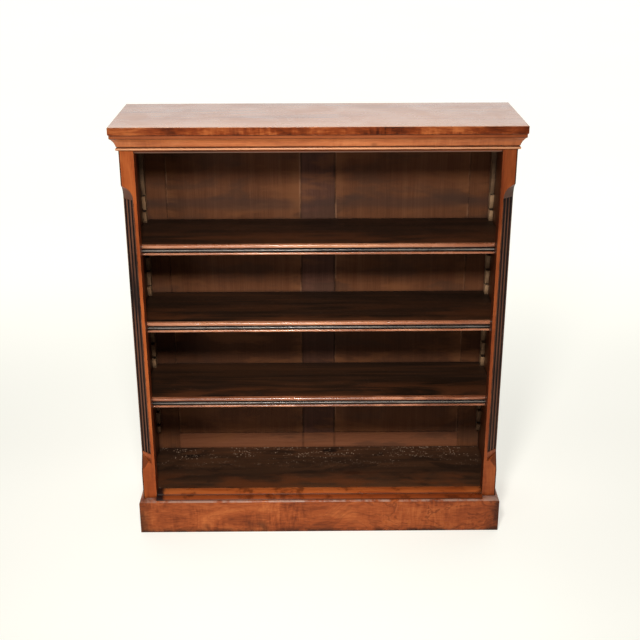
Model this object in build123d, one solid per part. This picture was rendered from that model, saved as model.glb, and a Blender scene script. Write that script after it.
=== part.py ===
from build123d import *
import math
import os

# Open bookcase with three adjustable shelves that hang on sawtooth racks.
# Frame: X to the right, +Y towards the back, +Z up. The origin is on the floor,
# at the centre of the case's footprint. All sizes are in millimetres.

# ---- driving dimensions -------------------------------------------------
HEIGHT = 1220.0
WIDTH = 1090.0
DEPTH = 322.0
TOP_THICKNESS = 22.0

POST_HALF_WIDTH = 523.0      # outer faces of the corner posts and side boards
OPENING_HALF_WIDTH = 484.0   # inner faces of the corner posts
POST_SETBACK = 22.0          # post front behind the top board's front edge
POST_DEPTH = 37.0
SIDE_THICKNESS = 10.0
BACK_THICKNESS = 12.0

PLINTH_HEIGHT = 106.0
PLINTH_HALF_WIDTH = 534.0
PLINTH_THICKNESS = 20.0
PLINTH_FRONT_THICKNESS = 28.0
PLINTH_ROUND = 9.0
CARCASS_FLOOR_Z = 96.0       # underside of the bottom board and of the back
BOTTOM_BOARD_THICKNESS = 20.0

RACK_PITCH = 46.9
RACK_TOP_LEDGE_Z = 959.0
RACK_LEDGES = 17
RACK_WIDTH = 11.0
RACK_DEPTH = 30.0
TOOTH_DEPTH = 12.0
RACK_BOTTOM_Z = 182.0
RACK_TOP_Z = 1140.0

SHELF_THICKNESS = 25.0
SHELF_EDGE_HEIGHT = 29.0
SHELF_EDGE_DEPTH = 12.0
# Each shelf hangs on one ledge, counted from the top of the racks. Its cleats
# are hand cut, so their heights differ a little from shelf to shelf.
SHELVES = {
    "upper": {"ledge": 3, "cleat_height": 38.3},
    "middle": {"ledge": 8, "cleat_height": 42.8},
    "lower": {"ledge": 13, "cleat_height": 40.3},
}

# ---- places worked out from them ----------------------------------------
BACK_Y = DEPTH / 2
FRONT_Y = -DEPTH / 2
TOP_UNDERSIDE_Z = HEIGHT - TOP_THICKNESS
POST_FRONT_Y = FRONT_Y + POST_SETBACK
POST_REAR_Y = POST_FRONT_Y + POST_DEPTH
BACK_FACE_Y = BACK_Y - BACK_THICKNESS
SIDE_INNER_X = POST_HALF_WIDTH - SIDE_THICKNESS
SHELF_FRONT_Y = POST_REAR_Y + 1.0
SHELF_REAR_Y = BACK_FACE_Y - 1.0
FLOOR_TOP_Z = CARCASS_FLOOR_Z + BOTTOM_BOARD_THICKNESS
RACK_INNER_X = SIDE_INNER_X - RACK_WIDTH
SIDES = {"left": -1, "right": 1}


def block(x0, x1, y0, y1, z0, z1):
    """A box between two corners."""
    middle = Pos((x0 + x1) / 2, (y0 + y1) / 2, (z0 + z1) / 2)
    return middle * Box(abs(x1 - x0), abs(y1 - y0), abs(z1 - z0))


def side_block(side, x0, x1, y0, y1, z0, z1):
    """A box on the left (-1) or right (+1), with x measured outward from the middle."""
    return block(side * x0, side * x1, y0, y1, z0, z1)


def prism_along_x(edges, x0, x1):
    """Extrude a closed outline drawn in the YZ plane from x0 to x1."""
    face = Plane.YZ * make_face(edges)
    return Pos(x0, 0, 0) * extrude(face, amount=x1 - x0, dir=(1, 0, 0))


def prism_along_z(points, z0, z1):
    """Extrude a plan polygon from z0 up to z1."""
    face = make_face(Polyline(*points, close=True))
    return Pos(0, 0, z0) * extrude(face, amount=z1 - z0, dir=(0, 0, 1))


def mirrored(side, solid):
    """Pieces are drawn on the right; the left one is the mirror image."""
    return solid if side > 0 else mirror(solid, about=Plane.YZ)


def ledge_z(number):
    """Height of a rack ledge, counted down from the top one (0)."""
    return RACK_TOP_LEDGE_Z - RACK_PITCH * number


def shelf_underside_z(shelf):
    return ledge_z(shelf["ledge"]) + shelf["cleat_height"]


# ---- top and cornice ----------------------------------------------------
def make_top_board():
    """Top board: its front and end edges are rounded over underneath."""
    upper_round = 1.5
    lower_round = 4.0
    board = block(-WIDTH / 2, WIDTH / 2, FRONT_Y, BACK_Y, TOP_UNDERSIDE_Z, HEIGHT)
    board = fillet(board.edges().group_by(Axis.Z)[-1], upper_round)
    lower_edges = board.edges().group_by(Axis.Z)[0].sort_by(Axis.Y)
    return fillet(lower_edges[:-1], lower_round)


CORNICE_PROJECTION = 19.5
CORNICE_FILLET_Z = 1189.0
CORNICE_BOTTOM_Z = 1154.5


def cornice_outline(outward):
    """Cornice section: projection from the case, towards +1 or -1, against height."""
    fillet_top = (outward * CORNICE_PROJECTION, TOP_UNDERSIDE_Z)
    fillet_bottom = (outward * CORNICE_PROJECTION, CORNICE_FILLET_Z)
    cove_top = (outward * 18.5, CORNICE_FILLET_Z)
    cove_middle = (outward * 9.8, 1178.4)
    cove_bottom = (outward * 5.0, 1165.5)
    quirk_top = (outward * 2.5, 1165.5)
    quirk_bottom = (outward * 2.5, 1162.5)
    bead_top = (outward * 3.5, 1162.5)
    bead_middle = (outward * 7.0, 1159.0)
    bead_bottom = (outward * 3.5, 1155.5)
    lower_top = (outward * 2.5, 1155.5)
    lower_front = (outward * 2.5, CORNICE_BOTTOM_Z)
    edges = [ThreePointArc(cove_top, cove_middle, cove_bottom)]
    edges += [ThreePointArc(bead_top, bead_middle, bead_bottom)]
    edges += [Polyline((0, TOP_UNDERSIDE_Z), fillet_top, fillet_bottom, cove_top)]
    edges += [Polyline(cove_bottom, quirk_top, quirk_bottom, bead_top)]
    edges += [Polyline(bead_bottom, lower_top, lower_front, (0, CORNICE_BOTTOM_Z), (0, TOP_UNDERSIDE_Z))]
    return edges


def mitre_region(side):
    """Plan area of the front run (0) or of a return, cut on the 45 degree mitre lines."""
    reach = 40.0
    corner = (POST_HALF_WIDTH, POST_FRONT_Y)
    outer = (corner[0] + reach, corner[1] - reach)
    inner = (corner[0] - reach, corner[1] + reach)
    if side == 0:
        return [(-outer[0], outer[1]), outer, inner, (-inner[0], inner[1])]
    return [outer, (outer[0], BACK_Y), (inner[0], BACK_Y), inner]


def make_cornice_front():
    run = prism_along_x(cornice_outline(-1), -WIDTH / 2, WIDTH / 2)
    run = Pos(0, POST_FRONT_Y, 0) * run
    return run & prism_along_z(mitre_region(0), CORNICE_BOTTOM_Z, TOP_UNDERSIDE_Z)


def make_cornice_return(side):
    face = Plane.XZ * make_face(cornice_outline(1))
    run = Pos(POST_HALF_WIDTH, BACK_Y, 0) * extrude(face, amount=DEPTH, dir=(0, -1, 0))
    return mirrored(side, run & prism_along_z(mitre_region(1), CORNICE_BOTTOM_Z, TOP_UNDERSIDE_Z))


def make_frieze_rail():
    """Rail across the head of the opening, with a chamfered lower front edge."""
    front_y = POST_FRONT_Y + 3.5
    rear_y = front_y + 20.0
    chamfer = 5.0
    bottom_z = 1145.5
    points = [
        (front_y, TOP_UNDERSIDE_Z),
        (front_y, bottom_z + chamfer),
        (front_y + chamfer, bottom_z),
        (rear_y, bottom_z),
        (rear_y, TOP_UNDERSIDE_Z),
    ]
    return prism_along_x([Polyline(*points, close=True)], -OPENING_HALF_WIDTH, OPENING_HALF_WIDTH)


# ---- corner posts -------------------------------------------------------
# The outer front corner of a post is canted. Line A-B is the canted face in plan.
CANT_A = Vector(OPENING_HALF_WIDTH + 9.0, POST_FRONT_Y, 0)
CANT_B = Vector(POST_HALF_WIDTH, POST_FRONT_Y + 25.0, 0)
CANT_ALONG = (CANT_B - CANT_A).normalized()
CANT_OUTWARD = Vector(CANT_ALONG.Y, -CANT_ALONG.X, 0)
CANT_LENGTH = (CANT_B - CANT_A).length
CANT_REACH = 60.0            # how far the cutters pass the ends of the cant
CORNER_OUT = (Vector(POST_HALF_WIDTH, POST_FRONT_Y, 0) - CANT_A).dot(CANT_OUTWARD)
STRIP_THICKNESS = 6.0
STRIP_BOTTOM_Z = 252.0
STRIP_TOP_Z = 1020.0
FLUTES = 3
FLUTE_FIRST = 0.15 * CANT_LENGTH
FLUTE_SPACING = 0.325 * CANT_LENGTH
FLUTE_RADIUS = 4.6
FLUTE_CENTRE_OUT = 1.2
# Below the strip a bare facet runs down to a diagonal line, and under that line
# a slope leads out to the full corner.
STOP_LINE_Z = 223.0          # height of the diagonal line at the post's front
STOP_LINE_RISE = 20.0        # its rise across the cant
STOP_SLOPE_TOP_Z = 246.0
STOP_SLOPE_SINK = 1.2        # how far inside the facet the slope starts
STOP_FOOT_Z = 194.0


def cant_point(along, outward):
    """Plan point from a distance along the cant and one square to it."""
    point = CANT_A + CANT_ALONG * along + CANT_OUTWARD * outward
    return (point.X, point.Y)


def cant_cutter(edges):
    """Extrude a section drawn in (outward, height) along the cant, past both its ends."""
    start = CANT_A - CANT_ALONG * CANT_REACH
    plane = Plane(origin=start, x_dir=CANT_OUTWARD, z_dir=CANT_ALONG * -1)
    face = plane * make_face(edges)
    return extrude(face, amount=CANT_LENGTH + 2 * CANT_REACH, dir=CANT_ALONG)


def cant_rebate():
    """The bed of the fluted strip, and all that lies outside it."""
    outside_x = POST_HALF_WIDTH + 10.0
    outside_y = POST_FRONT_Y - 10.0
    points = [
        cant_point(0, 0),
        cant_point(0, -STRIP_THICKNESS),
        cant_point(CANT_LENGTH, -STRIP_THICKNESS),
        cant_point(CANT_LENGTH, 0),
        (outside_x, CANT_B.Y),
        (outside_x, outside_y),
        (CANT_A.X, outside_y),
    ]
    return prism_along_z(points, STRIP_BOTTOM_Z, STRIP_TOP_Z)


def top_stop():
    """The scooped end above the flutes, flaring out to the full corner."""
    scoop_middle = (2.0, 1036.5)
    flare_start = (7.5, 1050.0)
    flare_end = (CORNER_OUT + 5.0, 1067.0)
    outside = [(CANT_REACH, flare_end[1]), (CANT_REACH, STRIP_TOP_Z), (0, STRIP_TOP_Z)]
    scoop = ThreePointArc((0, STRIP_TOP_Z), scoop_middle, flare_start)
    return cant_cutter([scoop, Polyline(flare_start, flare_end, *outside)])


def below_stop_line():
    """Everything under the diagonal line across the foot of the cant."""
    rise = STOP_LINE_RISE / CANT_LENGTH
    near = -CANT_REACH
    far = CANT_LENGTH + CANT_REACH
    points = [
        (near, STOP_LINE_Z + rise * near),
        (far, STOP_LINE_Z + rise * far),
        (far, PLINTH_HEIGHT),
        (near, PLINTH_HEIGHT),
    ]
    plane = Plane(origin=CANT_A - CANT_OUTWARD * CANT_REACH, x_dir=CANT_ALONG, z_dir=CANT_OUTWARD)
    face = plane * make_face(Polyline(*points, close=True))
    return extrude(face, amount=2 * CANT_REACH, dir=CANT_OUTWARD)


def bottom_stop():
    """Below the flutes: a bare facet down to a diagonal line, then a long slope."""
    facet_points = [
        (0, STOP_FOOT_Z),
        (CANT_REACH, STOP_FOOT_Z),
        (CANT_REACH, STRIP_BOTTOM_Z),
        (0, STRIP_BOTTOM_Z),
    ]
    slope_points = [
        (-STOP_SLOPE_SINK, STOP_SLOPE_TOP_Z),
        (CORNER_OUT, STOP_FOOT_Z),
        (CANT_REACH, STOP_FOOT_Z),
        (CANT_REACH, STRIP_BOTTOM_Z),
        (-STOP_SLOPE_SINK, STRIP_BOTTOM_Z),
    ]
    facet = cant_cutter(Polyline(*facet_points, close=True))
    slope = cant_cutter(Polyline(*slope_points, close=True))
    below = below_stop_line()
    return (facet - below) + (slope & below)


def make_corner_post(side):
    post = block(
        OPENING_HALF_WIDTH, POST_HALF_WIDTH, POST_FRONT_Y, POST_REAR_Y, PLINTH_HEIGHT, TOP_UNDERSIDE_Z
    )
    post = post - cant_rebate() - top_stop() - bottom_stop()
    return mirrored(side, post)


def make_fluted_strip(side):
    """Ebonised strip with three flutes, let into the canted corner."""
    points = [
        cant_point(0, 0),
        cant_point(0, -STRIP_THICKNESS),
        cant_point(CANT_LENGTH, -STRIP_THICKNESS),
        cant_point(CANT_LENGTH, 0),
    ]
    strip = prism_along_z(points, STRIP_BOTTOM_Z, STRIP_TOP_Z)
    for number in range(FLUTES):
        x, y = cant_point(FLUTE_FIRST + number * FLUTE_SPACING, FLUTE_CENTRE_OUT)
        height = STRIP_TOP_Z - STRIP_BOTTOM_Z
        strip -= Pos(x, y, (STRIP_TOP_Z + STRIP_BOTTOM_Z) / 2) * Cylinder(FLUTE_RADIUS, height)
    return mirrored(side, strip)


# ---- sides and back -----------------------------------------------------
SCREW_SHANK_RADIUS = 2.0
SCREW_HEAD_RADIUS = 4.0
SCREW_HEAD_HEIGHT = 2.4
SCREW_LENGTH = 20.0
SCREW_HEIGHTS = [205.5, 462.4, 719.2, 976.0]


def rack_centre_y(row):
    """Front and rear racks stand in the corners of the case."""
    if row == "front":
        return SHELF_FRONT_Y + RACK_DEPTH / 2 - 1.0
    return BACK_FACE_Y - RACK_DEPTH / 2


def rack_screw(side, row, height):
    """A countersunk screw that enters from the inner face of a rack."""
    away = -TOOTH_DEPTH / 2 if row == "front" else TOOTH_DEPTH / 2
    upward = (Align.CENTER, Align.CENTER, Align.MIN)
    head = Cone(SCREW_HEAD_RADIUS, SCREW_SHANK_RADIUS, SCREW_HEAD_HEIGHT, align=upward)
    shank = Cylinder(SCREW_SHANK_RADIUS, SCREW_LENGTH - SCREW_HEAD_HEIGHT, align=upward)
    screw = head + Pos(0, 0, SCREW_HEAD_HEIGHT) * shank
    screw = Pos(RACK_INNER_X, rack_centre_y(row) + away, height) * Rot(0, 90, 0) * screw
    return mirrored(side, screw)


def screws_of(side, row):
    return [rack_screw(side, row, height) for height in SCREW_HEIGHTS]


def make_side_board(side):
    board = side_block(
        side, SIDE_INNER_X, POST_HALF_WIDTH, POST_REAR_Y, BACK_Y, PLINTH_HEIGHT, TOP_UNDERSIDE_Z
    )
    for row in ("front", "rear"):
        for screw in screws_of(side, row):
            board -= screw
    return board


STILE_INNER_X = 445.0
MUNTIN_HALF_WIDTH = 49.5
BACK_RAIL_TOP_Z = 168.0
BACK_HEAD_RAIL_Z = 1105.0
GROOVE_DEPTH = 7.0
GROOVE_WIDTH = 6.0


def back_groove(x0, x1, z0, z1):
    """The slot that holds the edges of a back panel."""
    middle_y = (BACK_Y + BACK_FACE_Y) / 2
    return block(x0, x1, middle_y - GROOVE_WIDTH / 2, middle_y + GROOVE_WIDTH / 2, z0, z1)


def panel_space(side):
    """Extent of one back panel, tongues included."""
    inner = MUNTIN_HALF_WIDTH - GROOVE_DEPTH
    outer = STILE_INNER_X + GROOVE_DEPTH
    bottom_z = BACK_RAIL_TOP_Z - GROOVE_DEPTH
    top_z = BACK_HEAD_RAIL_Z + GROOVE_DEPTH
    return side * inner, side * outer, bottom_z, top_z


def both_grooves(piece):
    for side in SIDES.values():
        piece -= back_groove(*panel_space(side))
    return piece


def make_back_stile(side):
    return both_grooves(
        side_block(side, STILE_INNER_X, SIDE_INNER_X, BACK_FACE_Y, BACK_Y, CARCASS_FLOOR_Z, TOP_UNDERSIDE_Z)
    )


def make_back_rail(bottom_z, top_z):
    return both_grooves(block(-STILE_INNER_X, STILE_INNER_X, BACK_FACE_Y, BACK_Y, bottom_z, top_z))


def make_back_muntin():
    return both_grooves(
        block(-MUNTIN_HALF_WIDTH, MUNTIN_HALF_WIDTH, BACK_FACE_Y, BACK_Y, BACK_RAIL_TOP_Z, BACK_HEAD_RAIL_Z)
    )


def make_back_panel(side):
    """Panel with a thicker field between its thin edges."""
    field_gap = 2.0
    field_face_y = BACK_FACE_Y + 2.0
    field_rear_y = BACK_Y - 1.0
    panel = back_groove(*panel_space(side))
    field = side_block(
        side,
        MUNTIN_HALF_WIDTH + field_gap,
        STILE_INNER_X - field_gap,
        field_face_y,
        field_rear_y,
        BACK_RAIL_TOP_Z + field_gap,
        BACK_HEAD_RAIL_Z - field_gap,
    )
    return panel + field


# ---- floor of the case --------------------------------------------------
MOULDING_FRONT_Y = FRONT_Y + 5.0
MOULDING_STEP_Y = FRONT_Y + 27.0     # the groove between its upper and lower parts
MOULDING_GROOVE_DEPTH = 5.0


def make_bottom_board():
    return block(-SIDE_INNER_X, SIDE_INNER_X, SHELF_FRONT_Y, BACK_FACE_Y, CARCASS_FLOOR_Z, FLOOR_TOP_Z)


def make_bottom_moulding():
    """Low stepped moulding in front of the bottom board, between the posts."""
    plinth_rear_y = FRONT_Y + PLINTH_FRONT_THICKNESS
    crown_start = (SHELF_FRONT_Y, FLOOR_TOP_Z)
    crown_middle = (SHELF_FRONT_Y - 15.0, FLOOR_TOP_Z + 1.6)
    crown_end = (MOULDING_STEP_Y + 1.5, FLOOR_TOP_Z - 2.0)
    groove = (MOULDING_STEP_Y, FLOOR_TOP_Z - MOULDING_GROOVE_DEPTH)
    lower_start = (MOULDING_STEP_Y - 1.5, FLOOR_TOP_Z - 3.6)
    lower_middle = (MOULDING_FRONT_Y + 8.0, FLOOR_TOP_Z - 4.4)
    lower_end = (MOULDING_FRONT_Y, PLINTH_HEIGHT + 1.2)
    rest = [
        lower_end,
        (MOULDING_FRONT_Y, PLINTH_HEIGHT),
        (plinth_rear_y, PLINTH_HEIGHT),
        (plinth_rear_y, CARCASS_FLOOR_Z),
        (SHELF_FRONT_Y, CARCASS_FLOOR_Z),
        crown_start,
    ]
    edges = [
        ThreePointArc(crown_start, crown_middle, crown_end),
        Polyline(crown_end, groove, lower_start),
        ThreePointArc(lower_start, lower_middle, lower_end),
        Polyline(*rest),
    ]
    return prism_along_x(edges, -OPENING_HALF_WIDTH, OPENING_HALF_WIDTH)


# ---- plinth -------------------------------------------------------------
def plinth_region(side):
    """Plan area of the front piece (0) or of a side piece, up to the mitre."""
    front = (PLINTH_HALF_WIDTH, FRONT_Y)
    mitre = (PLINTH_HALF_WIDTH - PLINTH_THICKNESS, FRONT_Y + PLINTH_THICKNESS)
    rear_y = FRONT_Y + PLINTH_FRONT_THICKNESS
    if side == 0:
        inner = (mitre[0], rear_y)
        return [(-front[0], front[1]), front, mitre, inner, (-inner[0], inner[1]), (-mitre[0], mitre[1])]
    return [front, (front[0], BACK_Y), (mitre[0], BACK_Y), mitre]


def plinth_outline(outward, thickness):
    """Plinth section with a rounded upper front edge."""
    outer = outward * thickness
    shoulder = outward * (thickness - PLINTH_ROUND)
    shoulder_z = PLINTH_HEIGHT - PLINTH_ROUND
    quarter = PLINTH_ROUND * math.sqrt(0.5)
    round_start = (outer, shoulder_z)
    round_middle = (shoulder + outward * quarter, shoulder_z + quarter)
    round_end = (shoulder, PLINTH_HEIGHT)
    return [
        ThreePointArc(round_start, round_middle, round_end),
        Polyline(round_end, (0, PLINTH_HEIGHT), (0, 0), (outer, 0), round_start),
    ]


def make_plinth_front():
    outline = plinth_outline(-1, PLINTH_FRONT_THICKNESS)
    run = prism_along_x(outline, -PLINTH_HALF_WIDTH, PLINTH_HALF_WIDTH)
    run = Pos(0, FRONT_Y + PLINTH_FRONT_THICKNESS, 0) * run
    return run & prism_along_z(plinth_region(0), 0, PLINTH_HEIGHT)


def make_plinth_side(side):
    face = Plane.XZ * make_face(plinth_outline(1, PLINTH_THICKNESS))
    run = extrude(face, amount=DEPTH, dir=(0, -1, 0))
    run = Pos(PLINTH_HALF_WIDTH - PLINTH_THICKNESS, BACK_Y, 0) * run
    return mirrored(side, run & prism_along_z(plinth_region(1), 0, PLINTH_HEIGHT))


PLINTH_INNER_X = PLINTH_HALF_WIDTH - PLINTH_THICKNESS
BEARER_DEPTH = 25.0
BEARER_HEIGHT = 20.0


def make_plinth_back():
    return block(-PLINTH_INNER_X, PLINTH_INNER_X, BACK_Y - PLINTH_THICKNESS, BACK_Y, 0, CARCASS_FLOOR_Z)


def make_corner_block(side):
    """Block inside the plinth that carries a corner post, clear of the floor."""
    front_y = FRONT_Y + PLINTH_FRONT_THICKNESS
    bottom_z = 8.0
    return side_block(
        side, OPENING_HALF_WIDTH, PLINTH_INNER_X, front_y, SHELF_FRONT_Y, bottom_z, PLINTH_HEIGHT
    )


def make_front_bearer():
    front_y = FRONT_Y + PLINTH_FRONT_THICKNESS
    rear_y = SHELF_FRONT_Y + BEARER_DEPTH
    bottom_z = CARCASS_FLOOR_Z - BEARER_HEIGHT
    bearer = block(-PLINTH_INNER_X, PLINTH_INNER_X, front_y, rear_y, bottom_z, CARCASS_FLOOR_Z)
    for side in SIDES.values():
        bearer -= make_corner_block(side)
    return bearer


def make_side_bearer(side):
    front_y = SHELF_FRONT_Y + BEARER_DEPTH
    rear_y = BACK_Y - PLINTH_THICKNESS
    return side_block(
        side,
        PLINTH_INNER_X - BEARER_DEPTH,
        PLINTH_INNER_X,
        front_y,
        rear_y,
        CARCASS_FLOOR_Z - BEARER_HEIGHT,
        CARCASS_FLOOR_Z,
    )


# ---- racks and cleats ---------------------------------------------------
def rack_outline():
    """Sawtooth section: (distance from the rack's back edge, height), top down."""
    root = RACK_DEPTH - TOOTH_DEPTH
    first_slope_z = RACK_TOP_LEDGE_Z + RACK_PITCH
    points = [(0, RACK_TOP_Z), (RACK_DEPTH, RACK_TOP_Z), (RACK_DEPTH, first_slope_z)]
    for number in range(RACK_LEDGES):
        points += [(root, ledge_z(number)), (RACK_DEPTH, ledge_z(number))]
    points += [(root, RACK_BOTTOM_Z), (0, RACK_BOTTOM_Z)]
    return points


def make_rack(side, row):
    """Front racks face the back and rear racks face the front."""
    if row == "front":
        origin_y, direction = POST_REAR_Y, 1
    else:
        origin_y, direction = BACK_FACE_Y, -1
    points = [(origin_y + direction * away, height) for away, height in rack_outline()]
    rack = prism_along_x([Polyline(*points, close=True)], RACK_INNER_X, SIDE_INNER_X)
    rack = mirrored(side, rack)
    for screw in screws_of(side, row):
        rack -= screw
    return rack


def make_rack_screws():
    screws = []
    for side in SIDES.values():
        for row in ("front", "rear"):
            screws += screws_of(side, row)
    return Compound(children=screws)


CLEAT_END_GAP = 0.6
CLEAT_SIDE_GAP = 0.5


def make_cleat(side, shelf):
    """Loose bar whose bevelled ends hook into the racks' teeth."""
    bottom_z = ledge_z(shelf["ledge"])
    height = shelf["cleat_height"]
    root = RACK_DEPTH - TOOTH_DEPTH + CLEAT_END_GAP
    recess = TOOTH_DEPTH * height / RACK_PITCH
    front_y = POST_REAR_Y + root
    rear_y = BACK_FACE_Y - root
    points = [
        (front_y, bottom_z),
        (rear_y, bottom_z),
        (rear_y - recess, bottom_z + height),
        (front_y + recess, bottom_z + height),
    ]
    outline = [Polyline(*points, close=True)]
    cleat = prism_along_x(outline, RACK_INNER_X, SIDE_INNER_X - CLEAT_SIDE_GAP)
    return mirrored(side, cleat)


# ---- shelves ------------------------------------------------------------
SHELF_HALF_LENGTH = SIDE_INNER_X - 1.5
NOTCH_X = RACK_INNER_X - 1.5
NOTCH_GAP = 1.5
SHELF_BOARD_FRONT_Y = SHELF_FRONT_Y + SHELF_EDGE_DEPTH
STRIP_TOP = 9.6              # the ebonised strip, down from the shelf's top
STRIP_HEIGHT = 12.8
STRIP_BED_DEPTH = 7.0
STRIP_FACE_DEPTH = 3.3       # its flat face, behind the shelf's front
BEAD_HEIGHT = 5.0
BEAD_SETBACK = 1.2           # its crest, behind the shelf's front


def make_shelf_board(shelf):
    """Board with its four corners notched round the racks."""
    bottom_z = shelf_underside_z(shelf)
    top_z = bottom_z + SHELF_THICKNESS
    board = block(
        -SHELF_HALF_LENGTH, SHELF_HALF_LENGTH, SHELF_BOARD_FRONT_Y, SHELF_REAR_Y, bottom_z, top_z
    )
    front_notch_y = POST_REAR_Y + RACK_DEPTH + NOTCH_GAP
    rear_notch_y = BACK_FACE_Y - RACK_DEPTH - NOTCH_GAP
    for side in SIDES.values():
        board -= side_block(side, NOTCH_X, POST_HALF_WIDTH, FRONT_Y, front_notch_y, bottom_z, top_z)
        board -= side_block(side, NOTCH_X, POST_HALF_WIDTH, rear_notch_y, BACK_Y, bottom_z, top_z)
    return board


def make_shelf_edging(shelf):
    """Walnut edging with an upper and a lower reed and a bed for the ebonised strip."""
    top_z = shelf_underside_z(shelf) + SHELF_THICKNESS
    bottom_z = top_z - SHELF_EDGE_HEIGHT
    strip_top_z = top_z - STRIP_TOP
    strip_bottom_z = strip_top_z - STRIP_HEIGHT
    front_y = SHELF_FRONT_Y
    rear_y = SHELF_BOARD_FRONT_Y
    foot_y = front_y + STRIP_FACE_DEPTH
    bed_y = front_y + STRIP_BED_DEPTH
    upper_tip = (front_y, (top_z + strip_top_z) / 2)
    lower_tip = (front_y, (strip_bottom_z + bottom_z) / 2)
    strip_top = (foot_y, strip_top_z)
    strip_bottom = (foot_y, strip_bottom_z)
    edges = [
        ThreePointArc((foot_y, top_z), upper_tip, strip_top),
        Polyline(strip_top, (bed_y, strip_top_z), (bed_y, strip_bottom_z), strip_bottom),
        ThreePointArc(strip_bottom, lower_tip, (foot_y, bottom_z)),
        Polyline((foot_y, bottom_z), (rear_y, bottom_z), (rear_y, top_z), (foot_y, top_z)),
    ]
    return prism_along_x(edges, -NOTCH_X, NOTCH_X)


def make_shelf_bead(shelf):
    """Ebonised strip with a half-round bead along its middle."""
    top_z = shelf_underside_z(shelf) + SHELF_THICKNESS - STRIP_TOP
    bottom_z = top_z - STRIP_HEIGHT
    middle_z = (top_z + bottom_z) / 2
    bed_y = SHELF_FRONT_Y + STRIP_BED_DEPTH
    face_y = SHELF_FRONT_Y + STRIP_FACE_DEPTH
    bead_top = (face_y, middle_z + BEAD_HEIGHT / 2)
    bead_bottom = (face_y, middle_z - BEAD_HEIGHT / 2)
    bead_tip = (SHELF_FRONT_Y + BEAD_SETBACK, middle_z)
    strip = [bead_bottom, (face_y, bottom_z), (bed_y, bottom_z), (bed_y, top_z), (face_y, top_z), bead_top]
    edges = [ThreePointArc(bead_top, bead_tip, bead_bottom), Polyline(*strip)]
    return prism_along_x(edges, -NOTCH_X, NOTCH_X)


# ---- all nodes ----------------------------------------------------------
def carcass_pieces():
    pieces = {
        "top_board": make_top_board(),
        "cornice_front": make_cornice_front(),
        "frieze_rail": make_frieze_rail(),
        "back_head_rail": make_back_rail(BACK_HEAD_RAIL_Z, TOP_UNDERSIDE_Z),
        "back_foot_rail": make_back_rail(CARCASS_FLOOR_Z, BACK_RAIL_TOP_Z),
        "back_muntin": make_back_muntin(),
        "bottom_board": make_bottom_board(),
        "bottom_moulding": make_bottom_moulding(),
        "plinth_front": make_plinth_front(),
        "plinth_back": make_plinth_back(),
        "bearer_front": make_front_bearer(),
        "rack_screws": make_rack_screws(),
    }
    for name, side in SIDES.items():
        pieces["cornice_" + name] = make_cornice_return(side)
        pieces["corner_post_" + name] = make_corner_post(side)
        pieces["fluted_strip_" + name] = make_fluted_strip(side)
        pieces["side_board_" + name] = make_side_board(side)
        pieces["back_stile_" + name] = make_back_stile(side)
        pieces["back_panel_" + name] = make_back_panel(side)
        pieces["plinth_" + name] = make_plinth_side(side)
        pieces["plinth_block_" + name] = make_corner_block(side)
        pieces["bearer_" + name] = make_side_bearer(side)
        for row in ("front", "rear"):
            pieces["rack_" + row + "_" + name] = make_rack(side, row)
    return pieces


def shelf_pieces():
    pieces = {}
    for level, shelf in SHELVES.items():
        pieces["shelf_board_" + level] = make_shelf_board(shelf)
        pieces["shelf_edging_" + level] = make_shelf_edging(shelf)
        pieces["shelf_bead_" + level] = make_shelf_bead(shelf)
        for name, side in SIDES.items():
            pieces["cleat_" + level + "_" + name] = make_cleat(side, shelf)
    return pieces


os.makedirs("parts", exist_ok=True)
for node, solid in {**carcass_pieces(), **shelf_pieces()}.items():
    export_step(solid, os.path.join("parts", node + ".step"))
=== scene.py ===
"""Looks, light and camera for the bookcase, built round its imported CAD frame. Lengths are in metres."""

import math

import bpy
from mathutils import Matrix, Vector

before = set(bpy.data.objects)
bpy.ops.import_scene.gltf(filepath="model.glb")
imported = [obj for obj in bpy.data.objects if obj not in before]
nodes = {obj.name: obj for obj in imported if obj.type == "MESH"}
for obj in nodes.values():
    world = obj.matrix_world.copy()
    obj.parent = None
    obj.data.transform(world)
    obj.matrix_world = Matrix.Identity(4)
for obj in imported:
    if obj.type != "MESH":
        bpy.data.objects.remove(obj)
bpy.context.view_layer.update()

# ---- places on the case --------------------------------------------------
POST_OUTER_X = 0.523
MUNTIN_JOINT_X = 0.0500
PANEL_EDGES_X = (0.0525, 0.4420)
BACK_FACE_Y = 0.149
SHELF_FRONT_Y = -0.100
BEAD_CREST_Y = -0.0998
MOULDING_STEP_Y = -0.1335
MOULDING_QUIRKS_Y = (-0.1338, -0.1555)
MOULDING_STAIN_X = -0.440      # where the black stain at its left end stops
CORNICE_FILLET_Z = 1.189
CORNICE_QUIRKS_Z = (1.1975, 1.1888, 1.1650, 1.1630, 1.1550)
SHELF_MARK_Z = 0.955           # where a shelf once stood against the back
RACK_PITCH = 0.0469
RACK_TOP_LEDGE_Z = 0.959
# Start, full, full and end of a soft band of height.
CORNICE_BEAD_BAND = (1.1568, 1.1586, 1.1606, 1.1620)
POST_SCOOP_BAND = (1.000, 1.015, 1.040, 1.064)
POST_FOOT_BAND = (0.196, 0.214, 0.232, 0.243)
BACK_DARK_BAND = (0.16, 0.30, 0.52, 0.62)

LEVELS = ("upper", "middle", "lower")
SIDES = ("left", "right")
ROWS = ("front", "rear")


# ---- colours, as linear red, green and blue ------------------------------
def tones(dark, mid, light):
    """The darkest, middle and lightest tone of one wood."""
    return {"dark": dark, "mid": mid, "light": light}


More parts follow.
